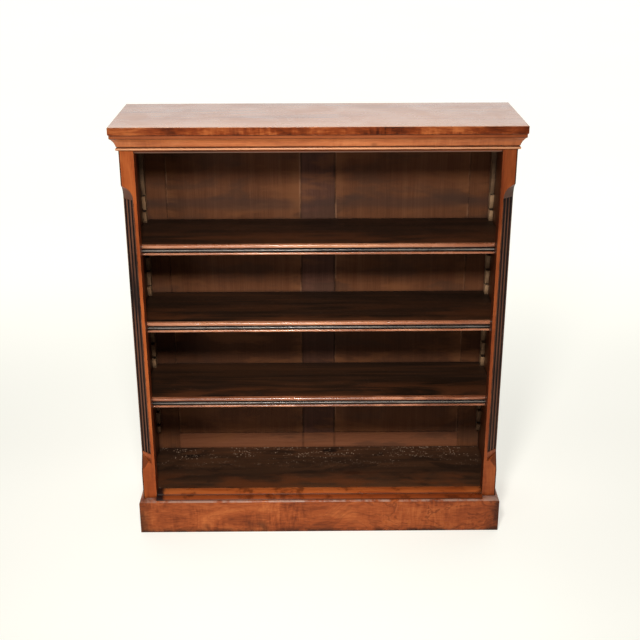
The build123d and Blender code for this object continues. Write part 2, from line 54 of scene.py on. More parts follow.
WALNUT = tones((0.150, 0.026, 0.006), (0.345, 0.069, 0.014), (0.520, 0.140, 0.034))
DARK_WALNUT = tones((0.070, 0.012, 0.003), (0.215, 0.042, 0.010), (0.360, 0.088, 0.022))
PLINTH_WALNUT = tones((0.120, 0.022, 0.005), (0.310, 0.066, 0.015), (0.470, 0.125, 0.032))
EDGE_WALNUT = tones((0.260, 0.062, 0.018), (0.540, 0.155, 0.048), (0.720, 0.260, 0.095))
TOP_EDGE_WALNUT = tones((0.050, 0.008, 0.002), (0.225, 0.040, 0.008), (0.480, 0.130, 0.034))
REED_WALNUT = tones((0.190, 0.055, 0.022), (0.430, 0.155, 0.075), (0.640, 0.280, 0.145))
TOP_WALNUT = tones((0.380, 0.110, 0.034), (0.640, 0.230, 0.085), (0.780, 0.350, 0.160))
SHELF_STAIN = tones((0.010, 0.0055, 0.003), (0.024, 0.0110, 0.006), (0.055, 0.0210, 0.009))
FLOOR_STAIN = tones((0.020, 0.0100, 0.006), (0.050, 0.0220, 0.011), (0.105, 0.0400, 0.017))
BACK_STAIN = tones((0.080, 0.0270, 0.0095), (0.130, 0.0455, 0.018), (0.185, 0.0720, 0.031))
MUNTIN_STAIN = tones((0.050, 0.0200, 0.0115), (0.095, 0.0380, 0.023), (0.150, 0.0640, 0.040))
FOOT_RAIL_STAIN = tones((0.120, 0.0390, 0.015), (0.190, 0.0660, 0.029), (0.260, 0.1000, 0.046))
RACK_WOOD = tones((0.22, 0.115, 0.055), (0.42, 0.245, 0.130), (0.55, 0.35, 0.20))
SOFTWOOD = tones((0.14, 0.070, 0.032), (0.26, 0.150, 0.075), (0.38, 0.24, 0.13))
EBONY = tones((0.005, 0.0040, 0.004), (0.011, 0.0080, 0.008), (0.030, 0.018, 0.014))
SIDE_INNER_DARK = (0.040, 0.015, 0.006)
RACK_STAIN = (0.095, 0.050, 0.028)
# Near-black brown for dirt, knots and blotches, and for painted shade in corners and crevices.
DIRT_AND_SHADE = (0.010, 0.005, 0.003)
SOOT = (0.006, 0.005, 0.006)
QUIRK_BROWN = (0.090, 0.020, 0.006)
RUBBED_PALE = (0.62, 0.33, 0.17)
CORNICE_BEAD_GLEAM = (0.86, 0.50, 0.29)
CHAMFER_SHEEN = (0.210, 0.125, 0.090)
SCOOP_BROWN = (0.090, 0.048, 0.033)
POST_INNER_RED = (0.110, 0.020, 0.007)
POST_INNER_BROWN = (0.040, 0.009, 0.004)
TOP_FRONT_ORANGE = (0.86, 0.40, 0.20)
TOP_ARRIS_PALE = (0.75, 0.42, 0.26)
PLINTH_ROUND_HIGHLIGHT = (0.42, 0.27, 0.21)
MOULDING_RED = (0.22, 0.040, 0.009)
RIDGE_BROWN = (0.19, 0.075, 0.042)
BEAD_HIGHLIGHT_GREY = (0.22, 0.185, 0.155)
SHELF_WORN_RED = (0.095, 0.030, 0.011)
SHELF_SPECK = (0.20, 0.13, 0.09)
FLOOR_WORN_RED = (0.125, 0.036, 0.012)
PAINT_SPECK = (0.55, 0.38, 0.27)
BACK_LOW_SHADE = (0.045, 0.018, 0.009)
BACK_DUST = (0.060, 0.030, 0.018)
BACK_WARM = (0.200, 0.072, 0.026)
BACK_SHELF_MARK = (0.045, 0.026, 0.020)
BACK_JOINT = (0.030, 0.012, 0.006)
BACK_FADED = (0.230, 0.088, 0.034)
BACK_EDGE_HIGHLIGHT = (0.40, 0.20, 0.11)


class Graph:
    """A material's node tree, with short words for the nodes it is made of."""

    def __init__(self, name):
        self.material = bpy.data.materials.new(name)
        self.material.use_nodes = True
        self.tree = self.material.node_tree
        self.tree.nodes.clear()
        self.output = self.tree.nodes.new("ShaderNodeOutputMaterial")
        self.shader = self.tree.nodes.new("ShaderNodeBsdfPrincipled")
        self.tree.links.new(self.shader.outputs["BSDF"], self.output.inputs["Surface"])

    def put(self, socket, value):
        """Set an input to a number or colour, or link another node's output to it."""
        if isinstance(value, bpy.types.NodeSocket):
            self.tree.links.new(value, socket)
        elif socket.type == "RGBA":
            socket.default_value = (*value, 1.0)
        else:
            socket.default_value = value

    def add(self, kind, inputs=(), **settings):
        node = self.tree.nodes.new("ShaderNode" + kind)
        for name, value in settings.items():
            setattr(node, name, value)
        for name, value in dict(inputs).items():
            self.put(node.inputs[name], value)
        return node

    def place(self, stretch, shift):
        """The object's own coordinates, stretched and shifted."""
        coordinates = self.add("TexCoord").outputs["Object"]
        inputs = {"Vector": coordinates, "Scale": stretch, "Location": shift}
        return self.add("Mapping", inputs).outputs["Vector"]

    def position(self, axis):
        """One of the object's own coordinates, in metres."""
        return self.add("SeparateXYZ", {"Vector": self.add("TexCoord").outputs["Object"]}).outputs[axis]

    def facing(self, axis):
        """How far the surface faces along one axis, from -1 to 1."""
        return self.add("SeparateXYZ", {"Vector": self.add("TexCoord").outputs["Normal"]}).outputs[axis]

    def noise(self, vector, scale=1.0, detail=4.0, roughness=0.55, distortion=0.0):
        inputs = {"Vector": vector, "Scale": scale, "Detail": detail, "Roughness": roughness}
        inputs["Distortion"] = distortion
        return self.add("TexNoise", inputs).outputs["Fac"]

    def maths(self, operation, first, second=0.0, third=None):
        node = self.add("Math", operation=operation)
        self.put(node.inputs[0], first)
        self.put(node.inputs[1], second)
        if third is not None:
            self.put(node.inputs[2], third)
        return node.outputs[0]

    def times(self, first, second):
        return self.maths("MULTIPLY", first, second)

    def fit(self, value, low, high, to_low=0.0, to_high=1.0):
        """Map a range onto another, clamped and eased."""
        inputs = {"Value": value, "From Min": low, "From Max": high, "To Min": to_low, "To Max": to_high}
        return self.add("MapRange", inputs, interpolation_type="SMOOTHSTEP").outputs["Result"]

    def band(self, value, start, full_from, full_to, end):
        """1 between two places and 0 outside them, with soft shoulders."""
        return self.times(self.fit(value, start, full_from), self.fit(value, end, full_to))

    def distance(self, value, place):
        """How far a value is from a place, either side."""
        return self.maths("ABSOLUTE", self.maths("SUBTRACT", value, place))

    def cells(self, vector, channel):
        """Scattered cells: the distance to each one's middle, and a random number for each."""
        cells = self.add("TexVoronoi", {"Vector": vector, "Scale": 1.0})
        colours = self.add("SeparateColor", {"Color": cells.outputs["Color"]})
        return cells.outputs["Distance"], colours.outputs[channel]

    def ramp(self, value, stops):
        node = self.add("ValToRGB", {"Fac": value})
        elements = node.color_ramp.elements
        while len(elements) < len(stops):
            elements.new(1.0)
        for element, (position, colour) in zip(elements, stops):
            element.position = position
            element.color = (*colour, 1.0)
        return node.outputs["Color"]

    def mix(self, share, first, second, blend="MIX"):
        node = self.add("Mix", data_type="RGBA", blend_type=blend)
        self.put(node.inputs[0], share)
        self.put(node.inputs[6], first)
        self.put(node.inputs[7], second)
        return node.outputs[2]

    def bump(self, height, distance, strength=1.0, normal=None):
        inputs = {"Height": height, "Distance": distance, "Strength": strength}
        if normal is not None:
            inputs["Normal"] = normal
        return self.add("Bump", inputs).outputs["Normal"]

    def edge_mask(self, radius):
        """1 on the sharp edges within a radius, 0 on the flats."""
        rounded = self.add("Bevel", {"Radius": radius}, samples=4).outputs["Normal"]
        true_normal = self.add("NewGeometry").outputs["Normal"]
        dot = self.add("VectorMath", operation="DOT_PRODUCT")
        self.put(dot.inputs[0], rounded)
        self.put(dot.inputs[1], true_normal)
        return self.fit(dot.outputs["Value"], 0.985, 0.80)

    def crevice_mask(self, distance):
        """1 deep in the corners, 0 in the open."""
        openness = self.add("AmbientOcclusion", {"Distance": distance}, samples=4).outputs["AO"]
        return self.fit(openness, 0.75, 0.25)


def stretch(grain, along, across):
    """Texture scale for a board whose grain runs along one axis."""
    return tuple(along if axis == grain else across for axis in "XYZ")


def seed_shift(seed):
    """Each board gets its own piece of the pattern."""
    return (seed * 1.37 % 7.0, seed * 2.11 % 5.0, seed * 3.77 % 9.0)


def wood_figure(graph, grain, seed, palette, streak=1.0):
    """Straight-grained wood: broad bands, growth rings and fine fibres. Gives (colour, fibre height)."""
    shift = seed_shift(seed)
    broad = graph.noise(graph.place(stretch(grain, 0.9, 9.0), shift), 1.0, 3.0, 0.6, 1.2)
    ring_warp = graph.noise(graph.place(stretch(grain, 1.1, 16.0), shift), 0.8, 3.0, 0.5, 0.6)
    rings = graph.maths("SINE", graph.times(ring_warp, 34.0))
    fibres = graph.noise(graph.place(stretch(grain, 7.0, 420.0), shift), 1.0, 3.0, 0.7)
    pores = graph.noise(graph.place(stretch(grain, 38.0, 900.0), shift), 1.0, 2.0, 0.6)
    tone = graph.maths("MULTIPLY_ADD", graph.maths("SUBTRACT", broad, 0.5), streak, 0.5)
    tone = graph.maths("MULTIPLY_ADD", rings, 0.075 * streak, tone)
    tone = graph.maths("MULTIPLY_ADD", graph.maths("SUBTRACT", fibres, 0.5), 0.45, tone)
    colour = graph.ramp(tone, [(0.28, palette["dark"]), (0.50, palette["mid"]), (0.74, palette["light"])])
    pore_mask = graph.fit(pores, 0.62, 0.72)
    colour = graph.mix(graph.times(pore_mask, 0.45), colour, palette["dark"])
    height = graph.maths("MULTIPLY_ADD", pore_mask, -0.8, fibres)
    return colour, height


def ripple_figure(graph, grain, seed, palette):
    """Figured walnut: soft clouds, ripples across the grain, a few knots and dark blotches."""
    shift = seed_shift(seed + 0.5)
    clouds = graph.noise(graph.place(stretch(grain, 4.5, 10.0), shift), 1.0, 4.0, 0.6, 1.6)
    ripples = graph.noise(graph.place(stretch(grain, 95.0, 16.0), shift), 1.0, 2.0, 0.5, 0.9)
    rippled = graph.fit(graph.noise(graph.place((5.0, 5.0, 5.0), shift), 1.0, 2.0), 0.42, 0.62)
    fibres = graph.noise(graph.place(stretch(grain, 30.0, 330.0), shift), 1.0, 3.0, 0.7, 0.8)
    ripples = graph.times(graph.maths("SUBTRACT", ripples, 0.5), rippled)
    tone = graph.maths("MULTIPLY_ADD", ripples, 0.55, clouds)
    tone = graph.maths("MULTIPLY_ADD", graph.maths("SUBTRACT", fibres, 0.5), 0.6, tone)
    colour = graph.ramp(tone, [(0.26, palette["dark"]), (0.50, palette["mid"]), (0.72, palette["light"])])
    blotch = graph.noise(graph.place(stretch(grain, 6.0, 8.0), seed_shift(seed + 3)), 1.0, 3.0, 0.6)
    colour = graph.mix(graph.fit(blotch, 0.60, 0.74, 0.0, 0.65), colour, DIRT_AND_SHADE)
    off, chance = graph.cells(graph.place((11.0, 11.0, 16.0), shift), "Green")
    knots = graph.times(graph.fit(off, 0.15, 0.05), graph.fit(chance, 0.55, 0.75))
    colour = graph.mix(graph.times(knots, 0.75), colour, DIRT_AND_SHADE)
    height = graph.maths("MULTIPLY_ADD", knots, -0.8, fibres)
    return colour, height


def quirk_lines(graph, colour, axis, places, reach):
    """Dark brown lines at places along one axis: painted shade in the narrow steps of a moulding."""
    along = graph.position(axis)
    for place in places:
        off = graph.distance(along, place)
        colour = graph.mix(graph.fit(off, reach, 0.3 * reach, 0.0, 0.85), colour, QUIRK_BROWN)
    return colour


def polished(
    graph, colour, height, roughness, wear=0.4, corner_dirt_and_shade=0.75, relief=0.00012, specular=0.2, coat=0.0
):
    """Old french polish: rubbed and darkened edges, dirt and painted shade in the corners, uneven gloss.
    """
    smudge = graph.noise(graph.place((9.0, 9.0, 9.0), (3.0, 1.0, 2.0)), 1.0, 4.0, 0.6, 0.4)
    # Painted shade: corners and creases are darkened towards near-black, partly dirt and partly the shade
    # that falls there.
    colour = graph.mix(graph.times(graph.crevice_mask(0.016), corner_dirt_and_shade), colour, DIRT_AND_SHADE)
    rub = graph.noise(graph.place((46.0, 46.0, 46.0), (0.0, 4.0, 1.0)), 1.0, 3.0, 0.6)
    edge = graph.edge_mask(0.0022)
    dark = graph.times(edge, graph.fit(rub, 0.52, 0.40, 0.0, 0.8))
    worn = graph.times(edge, graph.fit(rub, 0.50, 0.66, 0.0, wear))
    pale = graph.mix(0.5, colour, RUBBED_PALE)
    colour = graph.mix(dark, colour, DIRT_AND_SHADE)
    colour = graph.mix(worn, colour, pale)
    graph.put(graph.shader.inputs["Base Color"], colour)
    uneven = graph.fit(smudge, 0.3, 0.7, roughness - 0.07, roughness + 0.10)
    graph.put(graph.shader.inputs["Roughness"], uneven)
    graph.put(graph.shader.inputs["Specular IOR Level"], specular)
    graph.put(graph.shader.inputs["Coat Weight"], coat)
    graph.shader.inputs["Coat Roughness"].default_value = 0.16
    normal = graph.bump(height, relief, 0.5)
    graph.put(graph.shader.inputs["Normal"], graph.bump(smudge, 10.0 * relief, 0.35, normal))
    return graph.material


def cornice_walnut(name, grain, seed):
    """Cornice: painted shadow on the fillet under the top board, painted shade in its quirks and a gleam
    along the bead.
    """
    graph = Graph(name)
    colour, height = wood_figure(graph, grain, seed, EDGE_WALNUT)
    ripples, _ = ripple_figure(graph, grain, seed, EDGE_WALNUT)
    colour = graph.mix(0.45, colour, ripples)
    z = graph.position("Z")
    # Painted shadow: the fillet under the top board's overhang is darkened.
    fillet = graph.fit(z, CORNICE_FILLET_Z - 0.0005, CORNICE_FILLET_Z + 0.001, 0.0, 0.7)
    colour = graph.mix(fillet, colour, DARK_WALNUT["mid"])
    bead = graph.band(z, *CORNICE_BEAD_BAND)
    colour = graph.mix(graph.times(bead, 0.6), colour, CORNICE_BEAD_GLEAM)
    # Painted shade: dark brown lines in the quirks.
    colour = quirk_lines(graph, colour, "Z", CORNICE_QUIRKS_Z, 0.0016)
    return polished(graph, colour, height, 0.34, wear=0.6, corner_dirt_and_shade=0.35)


def reed_walnut(name, grain, seed):
    """Edging of a shelf, rubbed glossy, with dark patches of old polish, most on the lower shelves."""
    graph = Graph(name)
    colour, height = wood_figure(graph, grain, seed, REED_WALNUT)
    patches = graph.noise(graph.place((14.0, 60.0, 60.0), seed_shift(seed + 1)), 1.0, 3.0, 0.6)
    share = graph.fit(graph.position("Z"), 0.62, 0.42, 0.25, 0.85)
    colour = graph.mix(graph.times(graph.fit(patches, 0.42, 0.62), share), colour, REED_WALNUT["dark"])
    return polished(graph, colour, height, 0.26, wear=0.5, corner_dirt_and_shade=0.9, relief=0.0001, specular=0.5)


def side_walnut(name, side, seed):
    """Side board: polished outside, darker on its inner face."""
    graph = Graph(name)
    colour, height = wood_figure(graph, "Z", seed, WALNUT)
    inward = graph.times(graph.facing("X"), -float(side))
    colour = graph.mix(graph.fit(inward, 0.5, 0.9, 0.0, 0.88), colour, SIDE_INNER_DARK)
    return polished(graph, colour, height, 0.40)


def frieze_walnut(name, seed):
    """Rail under the cornice: a painted grey brown sheen on its down-facing chamfer."""
    graph = Graph(name)
    colour, height = wood_figure(graph, "X", seed, DARK_WALNUT)
    # Painted light: the down-facing chamfer is turned grey brown, as it looks where the light catches it.
    chamfer = graph.band(graph.facing("Z"), -0.9, -0.75, -0.68, -0.55)
    colour = graph.mix(graph.times(chamfer, 0.8), colour, CHAMFER_SHEEN)
    return polished(graph, colour, height, 0.40)


def post_walnut(name, side, seed, palette, inner_face):
    """Corner post: dark inner face and outer arris, a dull brown scoop above the flutes, and painted
    shade in the stop below them.
    """
    graph = Graph(name)
    colour, height = wood_figure(graph, "Z", seed, palette, 1.3)
    ripples, _ = ripple_figure(graph, "Z", seed, palette)
    colour = graph.mix(0.4, colour, ripples)
    outward = graph.times(graph.facing("X"), float(side))
    colour = graph.mix(graph.fit(outward, -0.5, -0.9, 0.0, 0.85), colour, inner_face)
    outer_x = graph.times(graph.position("X"), float(side))
    near_corner = graph.fit(outer_x, POST_OUTER_X - 0.0042, POST_OUTER_X - 0.0015)
    arris = graph.times(near_corner, graph.fit(graph.facing("Y"), -0.2, -0.6))
    colour = graph.mix(graph.times(arris, 0.85), colour, DIRT_AND_SHADE)
    z = graph.position("Z")
    canted = graph.band(outward, 0.25, 0.4, 0.9, 0.97)
    scoop = graph.times(graph.band(z, *POST_SCOOP_BAND), canted)
    colour = graph.mix(graph.times(scoop, 0.85), colour, SCOOP_BROWN)
    # Painted shade: the stop below the flutes is darkened on the outward faces.
    foot = graph.times(graph.band(z, *POST_FOOT_BAND), graph.fit(outward, 0.1, 0.3))
    colour = graph.mix(graph.times(foot, 0.6), colour, DARK_WALNUT["dark"])
    return polished(graph, colour, height, 0.36, specular=0.12)


def top_walnut(name, seed):
    """Pale straight-grained top, lighter and more orange towards the front, with a darker, figured
    moulded edge and a rubbed arris.
    """
    graph = Graph(name)
    colour, height = wood_figure(graph, "X", seed, TOP_WALNUT, 0.9)
    streaks = graph.noise(graph.place((1.3, 30.0, 30.0), seed_shift(seed + 2)), 1.0, 3.0, 0.6, 0.7)
    colour = graph.mix(graph.fit(streaks, 0.50, 0.34, 0.0, 0.5), colour, TOP_WALNUT["dark"])
    # Lighter and more orange towards the front.
    towards_front = graph.fit(graph.position("Y"), -0.03, -0.16, 0.0, 0.5)
    colour = graph.mix(towards_front, colour, TOP_FRONT_ORANGE)
    figured, _ = ripple_figure(graph, "X", seed + 1, TOP_EDGE_WALNUT)
    up = graph.facing("Z")
    level = graph.fit(up, 0.55, 0.85)
    colour = graph.mix(level, figured, colour)
    arris = graph.band(up, 0.15, 0.4, 0.9, 0.99)
    colour = graph.mix(graph.times(arris, 0.7), colour, TOP_ARRIS_PALE)
    specular = graph.maths("MULTIPLY_ADD", level, 0.35, 0.15)
    coat = graph.times(level, 0.6)
    return polished(graph, colour, height, 0.26, 0.3, 0.6, relief=0.00004, specular=specular, coat=coat)


def plinth_walnut(name, grain, seed):
    """Plinth: swirling figured walnut, scuffed at the floor and its front ends, with painted shade
    towards its right end and a painted grey highlight along its round.
    """
    graph = Graph(name)
    colour, height = ripple_figure(graph, grain, seed, PLINTH_WALNUT)
    x = graph.position("X")
    # Painted shade: darker towards the right end.
    colour = graph.mix(graph.fit(x, -0.35, 0.5, 0.0, 0.3), colour, DARK_WALNUT["mid"])
    warp = graph.noise(graph.place(stretch(grain, 6.0, 11.0), seed_shift(seed + 1)), 1.0, 3.0, 0.5, 1.8)
    swirls = graph.maths("SINE", graph.times(warp, 42.0))
    swirls = graph.times(graph.fit(swirls, 0.35, 1.0), graph.fit(x, -0.1, 0.35, 0.15, 0.6))
    colour = graph.mix(swirls, colour, PLINTH_WALNUT["dark"])
    scuff = graph.noise(graph.place((22.0, 22.0, 22.0), seed_shift(seed)), 1.0, 4.0, 0.65)
    low = graph.times(graph.fit(graph.position("Z"), 0.020, 0.001), graph.fit(scuff, 0.35, 0.6))
    colour = graph.mix(graph.times(low, 0.75), colour, DIRT_AND_SHADE)
    end = graph.fit(graph.maths("ABSOLUTE", x), 0.492, 0.532)
    end = graph.times(end, graph.fit(graph.position("Y"), -0.12, -0.15))
    colour = graph.mix(graph.times(end, graph.fit(scuff, 0.30, 0.62, 0.1, 0.75)), colour, DIRT_AND_SHADE)
    # Painted highlight: grey along the upward-facing round.
    rounded = graph.times(graph.fit(graph.facing("Z"), 0.30, 0.55), graph.fit(scuff, 0.36, 0.56))
    colour = graph.mix(graph.times(rounded, 0.65), colour, PLINTH_ROUND_HIGHLIGHT)
    return polished(graph, colour, height, 0.33, specular=0.14)


def moulding_walnut(name, seed):
    """Moulding in front of the bottom board: redder below its step, blackened at the left end."""
    graph = Graph(name)
    colour, height = wood_figure(graph, "X", seed, WALNUT)
    lower = graph.fit(graph.position("Y"), MOULDING_STEP_Y + 0.001, MOULDING_STEP_Y - 0.001)
    colour = graph.mix(graph.times(lower, 0.75), colour, MOULDING_RED)
    stain = graph.noise(graph.place((26.0, 26.0, 26.0), seed_shift(seed)), 1.0, 3.0, 0.6)
    colour = graph.mix(graph.fit(stain, 0.50, 0.66, 0.0, 0.7), colour, DARK_WALNUT["dark"])
    # Painted shade in the quirk at the step, and a dark joint where the moulding meets the plinth.
    colour = quirk_lines(graph, colour, "Y", MOULDING_QUIRKS_Y, 0.0022)
    ragged_x = graph.maths("MULTIPLY_ADD", stain, 0.045, graph.position("X"))
    black = graph.fit(ragged_x, MOULDING_STAIN_X + 0.006, MOULDING_STAIN_X - 0.006, 0.0, 0.95)
    colour = graph.mix(black, colour, SOOT)
    return polished(graph, colour, height, 0.32)


def fluted_ebony(name, side, seed):
    """Ebonised strip: black flutes between ridges rubbed back to brown wood."""
    graph = Graph(name)
    colour, height = wood_figure(graph, "Z", seed, EBONY)
    cant_outward = (side * 0.640, -0.768, 0.0)
    square_on = graph.add("VectorMath", operation="DOT_PRODUCT")
    graph.put(square_on.inputs[0], graph.add("TexCoord").outputs["Normal"])
    graph.put(square_on.inputs[1], cant_outward)
    rub = graph.noise(graph.place((12.0, 12.0, 5.0), seed_shift(seed)), 1.0, 3.0, 0.6)
    ridge = graph.times(graph.fit(square_on.outputs["Value"], 0.90, 0.98), graph.fit(rub, 0.2, 0.6))
    colour = graph.mix(graph.times(ridge, 0.9), colour, RIDGE_BROWN)
    return polished(graph, colour, height, 0.42, wear=0.2, corner_dirt_and_shade=0.7, relief=0.0001, specular=0.05)


def bead_ebony(name, seed):
    """Ebonised strip: dull black, with a glossy bead and a painted grey highlight along its crest."""
    graph = Graph(name)
    colour, height = wood_figure(graph, "X", seed, EBONY)
    crest = graph.fit(graph.position("Y"), BEAD_CREST_Y + 0.0016, BEAD_CREST_Y + 0.0004)
    rub = graph.noise(graph.place((9.0, 40.0, 40.0), seed_shift(seed)), 1.0, 3.0, 0.6)
    rubbed = graph.times(crest, graph.fit(rub, 0.3, 0.65, 0.25, 0.9))
    # Painted highlight: grey along the bead's crest.
    colour = graph.mix(rubbed, colour, BEAD_HIGHLIGHT_GREY)
    specular = graph.maths("MULTIPLY_ADD", crest, 0.5, 0.05)
    return polished(graph, colour, height, 0.28, 0.3, 0.7, relief=0.0001, specular=specular)


def stained_shelf(name, seed):
    """Very dark stained board, redder and worn towards its front."""
    graph = Graph(name)
    colour, height = wood_figure(graph, "X", seed, SHELF_STAIN, 0.8)
    smear = graph.noise(graph.place(stretch("X", 3.0, 14.0), seed_shift(seed + 1)), 1.0, 4.0, 0.6, 0.6)
    front = graph.fit(graph.position("Y"), SHELF_FRONT_Y + 0.17, SHELF_FRONT_Y + 0.03)
    rubbed = graph.times(front, graph.fit(smear, 0.42, 0.62))
    colour = graph.mix(graph.times(rubbed, 0.75), colour, SHELF_WORN_RED)
    specks = graph.noise(graph.place((210.0, 260.0, 210.0), seed_shift(seed)), 1.0, 2.0, 0.6)
    colour = graph.mix(graph.fit(specks, 0.70, 0.76, 0.0, 0.5), colour, SHELF_SPECK)
    return polished(graph, colour, height, 0.50, wear=0.25, corner_dirt_and_shade=0.4, relief=0.0002, specular=0.12)


def paint_specks(graph, seed):
    """Pale paint dots in patches: thick towards the back, a few more at the front left corner."""
    y = graph.position("Y")
    off, chance = graph.cells(graph.place((190.0, 210.0, 190.0), seed_shift(seed)), "Red")
    patches = graph.noise(graph.place((11.0, 42.0, 11.0), seed_shift(seed + 2)), 1.0, 3.0, 0.6)
    dots = graph.times(graph.fit(off, 0.42, 0.26), graph.fit(patches, 0.47, 0.56))
    near_back = graph.fit(y, BACK_FACE_Y - 0.14, BACK_FACE_Y - 0.04)
    corner = graph.times(graph.fit(graph.position("X"), -0.40, -0.44), graph.fit(y, -0.085, -0.11))
    share = graph.maths("ADD", near_back, graph.maths("MULTIPLY_ADD", corner, 0.9, 0.04))
    dots = graph.times(dots, graph.maths("MINIMUM", share, 1.0))
    return graph.times(dots, graph.fit(chance, 0.45, 0.95))


def worn_floor(name, seed):
    """Bottom board: smudged dark stain and knots, worn red towards the front, specked with paint."""
    graph = Graph(name)
    shift = seed_shift(seed)
    colour, height = wood_figure(graph, "X", seed, FLOOR_STAIN, 0.6)
    smudges = graph.noise(graph.place((7.0, 16.0, 7.0), shift), 1.0, 4.0, 0.6, 0.8)
    colour = graph.mix(graph.fit(smudges, 0.50, 0.36, 0.0, 0.75), colour, FLOOR_STAIN["dark"])
    off, _ = graph.cells(graph.place((4.4, 11.0, 11.0), shift), "Red")
    colour = graph.mix(graph.fit(off, 0.15, 0.09, 0.0, 0.85), colour, DIRT_AND_SHADE)
    reddish = graph.noise(graph.place((5.0, 12.0, 5.0), seed_shift(seed + 3)), 1.0, 3.0, 0.6)
    reddish = graph.times(graph.fit(graph.position("Y"), 0.02, -0.08), graph.fit(reddish, 0.46, 0.64))
    colour = graph.mix(graph.times(reddish, 0.8), colour, FLOOR_WORN_RED)
    colour = graph.mix(paint_specks(graph, seed), colour, PAINT_SPECK)
    return polished(graph, colour, height, 0.50, wear=0.2, corner_dirt_and_shade=0.4, relief=0.0002, specular=0.12)


def old_board(name, grain, seed, palette):
    """Plain unpolished board, dull and dry."""
    graph = Graph(name)
    colour, height = wood_figure(graph, grain, seed, palette)
    return polished(graph, colour, height, 0.62, wear=0.2, corner_dirt_and_shade=0.6, relief=0.00025)


def back_board(name, grain, seed, palette=BACK_STAIN, pale_edges=()):
    """Board of the back: fine grain and dusty smudges. A panel is faded at its side edges, with a painted
    highlight line along each.
    """
    graph = Graph(name)
    colour, height = wood_figure(graph, grain, seed, palette, 0.38)
    z = graph.position("Z")
    colour = graph.mix(graph.times(graph.band(z, *BACK_DARK_BAND), 0.5), colour, BACK_LOW_SHADE)
    smears = graph.noise(graph.place((4.0, 3.0, 13.0), seed_shift(7)), 1.0, 5.0, 0.62, 0.3)
    colour = graph.mix(graph.fit(smears, 0.50, 0.38, 0.0, 0.45), colour, BACK_DUST)
    colour = graph.mix(graph.fit(smears, 0.54, 0.66, 0.0, 0.5), colour, BACK_WARM)
    wavy_z = graph.maths("MULTIPLY_ADD", smears, 0.05, z)
    mark = graph.fit(graph.distance(wavy_z, SHELF_MARK_Z), 0.026, 0.006)
    colour = graph.mix(graph.times(mark, 0.5), colour, BACK_SHELF_MARK)
    across = graph.maths("ABSOLUTE", graph.position("X"))
    gaps = graph.noise(graph.place((3.0, 3.0, 9.0), seed_shift(seed + 4)), 1.0, 3.0, 0.6)
    joint = graph.fit(graph.distance(across, MUNTIN_JOINT_X), 0.0060, 0.0015)
    colour = graph.mix(graph.times(joint, graph.fit(gaps, 0.60, 0.35, 0.25, 0.75)), colour, BACK_JOINT)
    for edge in pale_edges:
        off = graph.distance(across, edge)
        faded = graph.times(graph.fit(off, 0.045, 0.004), graph.fit(smears, 0.40, 0.58))
        colour = graph.mix(graph.times(faded, 0.5), colour, BACK_FADED)
        # Painted highlight: a pale line along the panel edge, standing in for a lit bevel on the frame.
        line = graph.times(graph.fit(off, 0.0034, 0.0012), graph.fit(gaps, 0.42, 0.64))
        colour = graph.mix(graph.times(line, 0.5), colour, BACK_EDGE_HIGHLIGHT)
    return polished(graph, colour, height, 0.66, wear=0.5, corner_dirt_and_shade=0.6, relief=0.00025, specular=0.15)


def rack_wood(name, seed):
    """Rack: bare wood on each tooth's upper half, dark towards its root with painted shade in the crevice
    there, stained above the top ledge.
    """
    graph = Graph(name)
    colour, height = wood_figure(graph, "Z", seed, RACK_WOOD)
    drop = graph.maths("SUBTRACT", RACK_TOP_LEDGE_Z, graph.position("Z"))
    teeth = graph.maths("DIVIDE", graph.maths("ADD", drop, 4 * RACK_PITCH), RACK_PITCH)
    tooth = graph.maths("FRACT", teeth)
    lower_half = graph.fit(tooth, 0.36, 0.60, 0.0, 0.45)
    root = graph.fit(tooth, 0.86, 0.97, 0.0, 0.95)
    above = graph.fit(drop, -0.001, -0.004, 0.0, 0.75)
    low = graph.fit(drop, 0.56, 0.62, 0.0, 0.75)
    rub = graph.noise(graph.place((30.0, 30.0, 22.0), seed_shift(seed)), 1.0, 3.0, 0.6)
    for share in (lower_half, above, low):
        colour = graph.mix(graph.times(share, graph.fit(rub, 0.30, 0.60, 1.0, 0.75)), colour, RACK_STAIN)
    # Painted shade: a dark line in the crevice at each tooth's root.
    colour = graph.mix(graph.times(root, graph.fit(drop, -0.002, 0.0)), colour, DIRT_AND_SHADE)
    return polished(graph, colour, height, 0.55, wear=0.3, corner_dirt_and_shade=0.6, relief=0.00025)


def darkened_steel(name):
    """Old screw heads: dull steel with brown pits."""
    graph = Graph(name)
    pits = graph.noise(graph.place((900.0, 900.0, 900.0), (0.0, 0.0, 0.0)), 1.0, 3.0, 0.6)
    colour = graph.ramp(pits, [(0.35, (0.05, 0.035, 0.025)), (0.65, (0.22, 0.20, 0.18))])
    graph.put(graph.shader.inputs["Base Color"], colour)
    graph.shader.inputs["Metallic"].default_value = 1.0
    graph.put(graph.shader.inputs["Roughness"], graph.fit(pits, 0.3, 0.7, 0.35, 0.6))
    graph.put(graph.shader.inputs["Normal"], graph.bump(pits, 0.00008, 0.5))
    return graph.material


# ---- one material for each board ----------------------------------------
SOFT_EDGE = 0.0008
FINE_EDGE = 0.0004      # for mouldings and racks


def dress(node, material, edge=SOFT_EDGE):
    """Give a CAD node its material and softened edges."""
    piece = nodes[node]
    piece.data.materials.clear()
    piece.data.materials.append(material)
    if edge:
        weld = piece.modifiers.new("weld", "WELD")
        weld.merge_threshold = 0.00001
        bevel = piece.modifiers.new("soft_edges", "BEVEL")
        bevel.width = edge
        bevel.segments = 2
        bevel.limit_method = "ANGLE"
        bevel.angle_limit = math.radians(35)
        bevel.harden_normals = True


